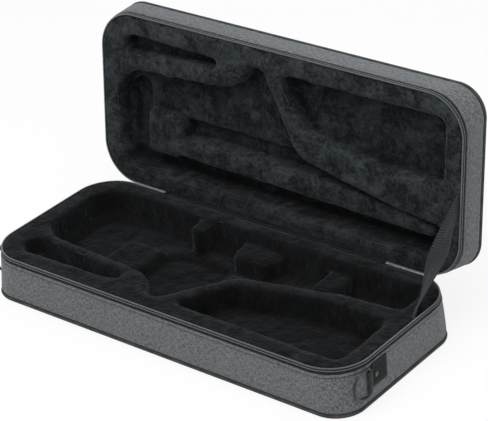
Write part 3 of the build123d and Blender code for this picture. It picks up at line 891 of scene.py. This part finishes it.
class CASE_OT_covers(bpy.types.Operator):
    """Stretch the heather cloth round the walls and over the outer panels, with its seams"""
    bl_idname = "case.covers"
    bl_label = "Cloth covers"

    def execute(self, context):
        settings = context.scene.case.covers
        for seed, body in enumerate(HALVES):
            self.band(Half(body), settings, seed + 11)
            self.panel(Half(body), settings, seed + 21)
        return {"FINISHED"}

    def band(self, half, settings, seed):
        """The side cloth, folded under at the tape, stitched down, and drawn in at the piping."""
        route = Route(0, 0.0035)
        top, seam = TAPE_DEPTH, settings.seam_depth
        bottom = half.height - PIPING_ZONE - settings.piping_groove
        depths = np.concatenate([
            top + np.array([-0.0002, 0.0002, 0.0010, 0.0022]),
            seam + np.array([-0.0012, -0.0005, 0, 0.0005, 0.0012, 0.0025]),
            np.linspace(seam + 0.006, bottom - 0.005, 10),
            bottom - np.array([0.0026, 0.0012, 0.0004, 0.0]),
        ])
        profile = []
        for depth in depths:
            share = (depth - seam) / (bottom - seam)
            swell = settings.crown * max(0.0, 1 - (2 * share - 1) ** 4) if share > 0 else settings.crown
            groove = 0.0011 * dip(depth - seam, 0.0006)
            fold = 0.0006 * dip(depth - top, 0.0004)
            tuck = 0.0012 * dip(bottom - depth, 0.0012)
            flat = half.place(route.flat(0, half.radius(depth)), depth)
            slack = wander(flat, 0.055, seed) * 0.0005 + wander(flat, 0.016, seed + 3) * 0.00015
            loose = swell + slack * min(1, 4 * max(share, 0) + 0.3)
            profile.append((groove + fold + tuck - loose * self.away_from_rings(flat), depth))
        profile += [(CLOTH_BACK, depth) for depth in (bottom - 0.0002, half.height / 2, top)]
        piece = swept(f"{half.body}_side_cloth", half, route, profile)
        dress(piece, half.body, "cover", heather_cloth(settings), f"{half.body}_side_band")
        thread = spun_thread("Spun polyester thread", settings.thread)
        sew(f"{half.body}_seam", half.body, "cover", thread,
            *half.line(route, 0.0, seam), settings.stitch_pitch, 0.72, 0.0011)

    def away_from_rings(self, points):
        """0 where a D ring lies against the cloth and holds it flat, 1 well away from both rings."""
        middle = (RING_X, RING_Y - RING_REACH, RING_Z)
        off = np.abs(points * (1, 0, 0)) + points * (0, 1, 1) - middle
        return 1 - np.minimum(1.6 * np.exp(-np.sum(off ** 2, axis=1) / RING_ZONE ** 2), 1)

    def panel(self, half, settings, seed):
        """The outer panel, flat under the tray and slightly crowned on the lid."""
        route = Route(0, 0.007)
        crown = settings.panel_crown if half.body == "lid" else 0.0
        layers = [(0.0, 0.0019), (0.0001, 0.0012), (0.0005, 0.0006), (0.0013, 0.0002)]
        layers += [(inset, 0.0) for inset in (
            0.0031, 0.006, 0.012, 0.021, 0.033, 0.048, 0.066, 0.086, 0.106, 0.124, 0.134)]
        under = route.flat(PANEL_INSET + 0.0003, PANEL_RADIUS)
        grid, flats = [half.place(under, half.height - 0.00195)], [under]
        for inset, drop in layers:
            flat = route.flat(PANEL_INSET + inset, PANEL_RADIUS)
            rise = crown * (1 - math.exp(-inset / 0.035))
            level = half.place(flat, half.height - drop + rise)
            if crown:
                level += half.into * (wander(level, 0.09, seed) * 0.0006 * min(1, inset / 0.02))[:, None]
            grid.append(level)
            flats.append(flat)
        piece = ring_object(f"{half.body}_outer_cloth", np.array(grid), np.array(flats))
        dress(piece, half.body, "cover", heather_cloth(settings), f"{half.body}_panel")


class CASE_OT_piping(bpy.types.Operator):
    """Sew the ribbed piping into the seam between the side cloth and the outer panel"""
    bl_idname = "case.piping"
    bl_label = "Piping"

    def execute(self, context):
        settings = context.scene.case.trim
        for body in HALVES:
            half = Half(body)
            depth = half.height - 0.0002 - PIPING_RADIUS
            route = Route(0, settings.rib_pitch / 3)
            ribs = 1 - 0.05 * (0.5 - 0.5 * np.cos(2 * math.pi * route.run[:-1] / settings.rib_pitch))
            radius, sides = PIPING_RADIUS * ribs, 9
            grid = []
            for k in range(sides):
                angle = 2 * math.pi * k / sides
                flat = route.flat(PIPING_INSET - radius * math.cos(angle), half.radius(depth))
                grid.append(half.place(flat, depth + radius * math.sin(angle)))
            across = np.linspace(0, 2 * math.pi * PIPING_RADIUS, sides + 1)
            piece = grid_object(f"{body}_welt", np.array(grid), route.run, across, wrap_along=True)
            cloth = woven_band("Ribbed piping cloth", settings.piping_dark, settings.piping_light,
                               settings.rib_pitch, 0.02)
            dress(piece, body, "piping", cloth, f"{body}_piping")
        return {"FINISHED"}


class CASE_OT_zip(bpy.types.Operator):
    """Sew the zip's two tapes and their rows of coil teeth round the rims"""
    bl_idname = "case.zip"
    bl_label = "Zip tapes and teeth"

    def execute(self, context):
        settings = context.scene.case.trim
        for body in HALVES:
            half = Half(body)
            self.tape(half, settings)
            self.teeth(half, settings)
            finish_node(f"{body}_zip_stops", black_enamel(settings))
        return {"FINISHED"}

    def tape(self, half, settings):
        """The woven tape, with the stitches that hold the coil to it."""
        route = Route(ZIP_END, 0.003)
        piece = swept(f"{half.body}_tape", half, route, [
            (0.00120, 0.0025), (0.00110, 0.0030), (0.00040, 0.0034), (0.00030, 0.0040), (0.00030, 0.0052),
            (0.00035, 0.0070), (0.00040, 0.0090), (0.00060, 0.0096), (0.00120, 0.0101), (0.00125, 0.0112),
            (CLOTH_BACK, 0.0112), (CLOTH_BACK, 0.0025),
        ])
        dress(piece, half.body, "tape", zip_tape_cloth(settings), f"{half.body}_zip_tape")
        thread = spun_thread("Grey spun thread", settings.tape_thread)
        sew(f"{half.body}_tape_seam", half.body, "tape", thread,
            *half.line(route, 0.00025, 0.0046), 0.0030, 0.70, 0.0010)

    def teeth(self, half, settings):
        """The coil: one rounded loop for each tooth, with a cord inside."""
        route = Route(ZIP_END + STOP_LENGTH, 0.002)
        line, out = half.line(route, TEETH_INSET, TEETH_DEPTH)
        places, way, up = spaced(line, out, settings.tooth_pitch)
        up = unit(up)
        wide = settings.tooth_pitch * 0.29
        thick, thin = (0.0013, 0.0012), (0.0009, 0.0008)
        template, faces = spindle(8, [
            (-wide, *thin), (-wide * 0.5, *thick), (wide * 0.5, *thick), (wide, *thin),
        ])
        frames = np.stack([way, up, np.cross(way, up)], axis=2)
        piece = repeated(f"{half.body}_teeth", template, faces, places, frames)
        dress(piece, half.body, "teeth", coil_nylon(settings), f"{half.body}_zip_coil")
        cord = swept(f"{half.body}_coil_cord", half, route, [
            (0.0008, 0.0012), (0.0012, 0.0008), (0.0022, 0.0008), (0.0027, 0.0013), (0.0027, 0.0026),
            (0.0008, 0.0026),
        ])
        dress(cord, half.body, "tape", zip_tape_cloth(settings))


class CASE_OT_hinge(bpy.types.Operator):
    """Join the halves along the back with one strip of cloth, bent round the hinge as the open lid leaves it
    """
    bl_idname = "case.hinge"
    bl_label = "Cloth hinge"

    def execute(self, context):
        settings = context.scene.case.trim
        y, z = HINGE["pos_m"][1:]
        lid = Half("lid")
        low = np.array([y, RIM_HEIGHT - TAPE_DEPTH])
        turn_from = np.array([y, z - 0.0016])
        far = lid.place(np.array([0.0, y]), TAPE_DEPTH)[1:]
        turn_to = lid.place(np.array([0.0, y]), 0.0002)[1:]
        corner = np.array([y + 0.0002, z - 0.0001])
        bend = [
            (1 - t) ** 2 * turn_from + 2 * t * (1 - t) * corner + t * t * turn_to
            for t in np.linspace(0, 1, 9)
        ]
        line = np.array([low + (turn_from - low) * k / 4 for k in range(4)] + bend
                        + [turn_to + (far - turn_to) * k / 4 for k in range(1, 5)])
        side = beside(line) * HINGE_HALF
        loop = np.vstack([line + side, (line - side)[::-1]])
        reach = ZIP_END - 0.0002
        steps = np.linspace(-reach, reach, 103)
        grid = np.array([[(x, *point) for x in steps] for point in loop])
        piece = grid_object("hinge_cloth", grid, steps, lengths(looped(loop)))
        cloth = woven_band("Hinge webbing", settings.tape, settings.hinge_light, 0.0018, 0.012)
        dress(piece, None, "tape", cloth, "tray_hinge_leaf", "lid_hinge_leaf")
        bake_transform(piece)
        return {"FINISHED"}


class CASE_OT_stay(bpy.types.Operator):
    """Stretch the webbing stay from the tray's right end to the lid's"""
    bl_idname = "case.stay"
    bl_label = "Stay strap"

    def execute(self, context):
        settings = context.scene.case.trim
        tray, lid = Half("tray"), Half("lid")
        low = tray.place(np.array(STAY_ENDS["tray"]), STAY_DEPTH)
        high = lid.place(np.array(STAY_ENDS["lid"]), STAY_DEPTH)
        length = np.linalg.norm(high - low)
        run = (high - low) / length
        half_width = settings.stay_width / 2
        section = band_section((-0.45, 0, 0.45))
        shares = np.linspace(0, 1, 60)
        rows, ends = [], []
        for share in shares:
            across, facing = self.turned(run, share, lid)
            centre = low + (high - low) * share
            rows.append([centre + across * half_width * u + facing * STAY_HALF * v for u, v in section])
            ends.append(across)
        grid = np.array(rows).transpose(1, 0, 2)
        around = lengths(looped(section * (half_width, STAY_HALF)))
        strap = grid_object("stay_webbing", grid, shares * length, around)
        dress(strap, None, "webbing", webbing_weave(settings), "stay_strap")
        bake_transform(strap)
        self.tab(tray, ends[0], settings)
        self.tab(lid, ends[-1], settings)
        return {"FINISHED"}

    def turned(self, run, share, lid):
        """The band's half width and its facing at a share of its way up, its ends cut flat on the lands."""
        angle = STAY_TURN * (1 - share * share * (3 - 2 * share))
        first = np.cross(run, (1.0, 0.0, 0.0))
        first /= np.linalg.norm(first)
        flat = math.cos(angle) * first + math.sin(angle) * np.cross(first, run)
        land = np.array([0.0, 0.0, 1.0]) * (1 - share) + lid.into * share
        return flat - run * (flat @ land) / (run @ land), np.cross(run, flat)

    def tab(self, half, across, settings):
        """The sewn end of the stay, flat on the land."""
        name = f"stay_{half.body}_tab"
        length = settings.stay_width * np.linalg.norm(across)
        piece = plate(f"{name}_cloth", (length + 0.002, 0.005), 0.002, [
            (0.0, 0.0), (0.0, 0.0007), (0.0003, 0.0011), (0.0010, 0.0013)])
        way = across / np.linalg.norm(across)
        facing = Matrix((way, np.cross(-half.into, way), -half.into)).transposed().to_4x4()
        facing.translation = Vector(half.place(np.array(STAY_ENDS[half.body]), 0.0019))
        piece.data.transform(facing)
        dress(piece, half.body, "webbing", webbing_weave(settings), name)


class CASE_OT_ring_holders(bpy.types.Operator):
    """Fold the webbing round each D ring's bar, and fix it under a stitched leather patch"""
    bl_idname = "case.ring_holders"
    bl_label = "Ring holders"

    def execute(self, context):
        settings = context.scene.case.trim
        for end, side in SIDES.items():
            self.loop(end, side, settings)
            self.patch(end, side, settings)
            for name in ("ring", "rivet"):
                finish_node(f"{end}_{name}", black_nickel(settings))
        return {"FINISHED"}

    def loop(self, end, side, settings):
        """The webbing from the patch, round the ring's bar and back."""
        radius, tail = 0.00292, RING_Y + 0.0071
        line = [(RING_X - radius, tail), (RING_X - radius, RING_Y + 0.0035)]
        line += [
            (RING_X + radius * math.cos(a), RING_Y + radius * math.sin(a))
            for a in np.linspace(math.pi, 2 * math.pi, 17)
        ]
        line += [(RING_X + 0.0022, RING_Y + 0.0026), (RING_X - 0.0003, RING_Y + 0.0052)]
        line.append((RING_X - 0.0014, tail))
        line = np.array(line)
        section = band_section((-0.3, 0.3)) * (LOOP_REACH, LOOP_HALF)
        grid = np.array([
            [(side * (p[0] + n[0] * v), p[1] + n[1] * v, RING_Z + u) for p, n in zip(line, beside(line))]
            for u, v in section
        ])
        piece = grid_object(f"{end}_loop_webbing", grid, lengths(line), lengths(looped(section)))
        dress(piece, "tray", "webbing", webbing_weave(settings), f"{end}_loop")

    def patch(self, end, side, settings):
        """The leather patch, its edge turned and stitched."""
        piece = plate(f"{end}_patch_leather", PATCH_SIZE, 0.003, [
            (0.0002, 0.0), (0.0, 0.0006), (0.0, 0.0018), (0.0003, 0.0024), (0.0010, 0.0028),
            (0.0020, 0.0028), (0.0026, 0.0025), (0.0032, 0.0028), (0.0060, 0.0030), (0.0120, 0.0031)])
        facing = Matrix(((0, 0, side), (1, 0, 0), (0, 1, 0))).to_4x4()
        facing.translation = Vector((side * (WALL_X + 0.0001), *PATCH_CENTRE))
        piece.data.transform(facing)
        dress(piece, "tray", "leather", grained_leather(settings), f"{end}_patch")
        flat = PATCH_CENTRE + looped(rounded(PATCH_SIZE - 2 * 0.0026, 0.002))
        line = np.column_stack([np.full(len(flat), side * (WALL_X + 0.0028)), flat])
        out = np.tile([side, 0.0, 0.0], (len(line), 1))
        thread = spun_thread("Dark spun thread", settings.patch_thread)
        sew(f"{end}_patch_seam", "tray", "leather", thread, line, out, 0.0034, 0.7, 0.0008)


class CASE_OT_sliders(bpy.types.Operator):
    """Finish the zip's sliders and their pulls"""
    bl_idname = "case.sliders"
    bl_label = "Zip sliders"

    def execute(self, context):
        for end in SIDES:
            for name in ("slider", "pull"):
                finish_node(f"{end}_{name}", black_enamel(context.scene.case.trim))
        return {"FINISHED"}


class CASE_OT_stage(bpy.types.Operator):
    """Set the pale floor, the soft light and the camera"""
    bl_idname = "case.stage"
    bl_label = "Stage"

    def execute(self, context):
        settings = context.scene.case.stage
        self.floor(settings)
        self.lights(settings)
        self.camera(settings)
        context.scene.view_settings.view_transform = "Standard"
        return {"FINISHED"}

    def background_rays(self, tree):
        """One for rays that show the background itself or its reflection, and zero for rays that light."""
        path = add(tree, "ShaderNodeLightPath").outputs
        seen = maths(tree, "ADD", path["Is Camera Ray"], path["Is Glossy Ray"])
        return maths(tree, "ADD", seen, path["Is Transmission Ray"], use_clamp=True)

    def floor(self, settings):
        """A matt painted floor, nearly white to the eye and still shaded under the case."""
        reach = 6.0
        floor = object_from("floor", [(-reach, -reach, 0), (reach, -reach, 0), (reach, reach, 0),
                                      (-reach, reach, 0)], [[0, 1, 2, 3]])

        def pattern(tree, shader):
            glow = add(tree, "ShaderNodeEmission", {"Color": (1, 1, 1, 1), "Strength": 1.0})
            share = maths(tree, "MULTIPLY", self.background_rays(tree), settings.floor_white)
            mix = add(tree, "ShaderNodeMixShader", {0: share, 1: shader.outputs[0], 2: glow.outputs[0]})
            tree.links.new(mix.outputs[0], tree.nodes["Material Output"].inputs["Surface"])

        floor.data.materials.append(get_material("Matt painted floor", settings.floor_colour, 0.9, pattern))

    def lights(self, settings):
        """Even light from all round, and one large soft box overhead."""
        world = bpy.data.worlds.new("Studio")
        bpy.context.scene.world = world
        world.use_nodes = True
        tree = world.node_tree
        tree.nodes.clear()
        light = add(tree, "ShaderNodeBackground", {"Color": (0.97, 0.985, 1.0, 1), "Strength": settings.sky})
        white = add(tree, "ShaderNodeBackground", {"Color": (1, 1, 1, 1), "Strength": 1.0})
        mix = add(tree, "ShaderNodeMixShader", {
            0: self.background_rays(tree), 1: light.outputs[0], 2: white.outputs[0]})
        add(tree, "ShaderNodeOutputWorld", {0: mix.outputs[0]})
        lamp = bpy.data.lights.new("Soft box", "AREA")
        lamp.shape, lamp.size, lamp.energy = "SQUARE", settings.lamp_width, settings.lamp
        box = linked("Soft box", lamp)
        box.location = (0.3, -0.7, 2.6)
        box.rotation_euler = (Vector((0, 0, 0.1)) - box.location).to_track_quat("-Z", "Y").to_euler()

    def camera(self, settings):
        """The camera at the photograph's place."""
        azimuth, elevation, roll = settings.azimuth, settings.elevation, settings.roll
        back = Vector((
            math.sin(azimuth) * math.cos(elevation),
            -math.cos(azimuth) * math.cos(elevation),
            math.sin(elevation),
        ))
        level = Vector((0, 0, 1)).cross(back).normalized()
        upright = back.cross(level)
        right = math.cos(roll) * level + math.sin(roll) * upright
        up = -math.sin(roll) * level + math.cos(roll) * upright
        lens = bpy.data.cameras.new("Camera")
        lens.lens, lens.sensor_width = settings.lens, 36.0
        lens.shift_x, lens.shift_y = settings.shift
        camera = linked("Camera", lens)
        turn = Matrix((right, up, back)).transposed().to_4x4()
        turn.translation = Vector(settings.target) + back * settings.distance
        camera.matrix_world = turn
        bpy.context.scene.camera = camera


STEPS = (
    CASE_OT_foam, CASE_OT_plush, CASE_OT_covers, CASE_OT_piping, CASE_OT_zip, CASE_OT_hinge, CASE_OT_stay,
    CASE_OT_ring_holders, CASE_OT_sliders, CASE_OT_stage,
)


class CASE_PT_panel(bpy.types.Panel):
    """Buttons for the case's pieces"""
    bl_idname = "CASE_PT_panel"
    bl_label = "Saxophone case"
    bl_space_type = "VIEW_3D"
    bl_region_type = "UI"
    bl_category = "Case"

    def draw(self, context):
        case = context.scene.case
        for group in (case.covers, case.plush, case.trim, case.stage):
            column = self.layout.column()
            for key in group.bl_rna.properties.keys():
                if key not in ("rna_type", "name"):
                    column.prop(group, key)
        for step in STEPS:
            self.layout.operator(step.bl_idname)


CLASSES = (CoverSettings, PlushSettings, TrimSettings, StageSettings, CaseSettings, *STEPS, CASE_PT_panel)


def register():
    """Adds the settings, the operators and the panel."""
    for each in CLASSES:
        bpy.utils.register_class(each)
    bpy.types.Scene.case = bpy.props.PointerProperty(type=CaseSettings)


def unregister():
    """Takes them out again."""
    del bpy.types.Scene.case
    for each in reversed(CLASSES):
        bpy.utils.unregister_class(each)


def main():
    """Builds every piece and the stage."""
    register()
    for step in STEPS:
        family, action = step.bl_idname.split(".")
        if getattr(getattr(bpy.ops, family), action)() != {"FINISHED"}:
            raise RuntimeError(f"{step.bl_label} didn't finish")


if __name__ == "__main__":
    main()
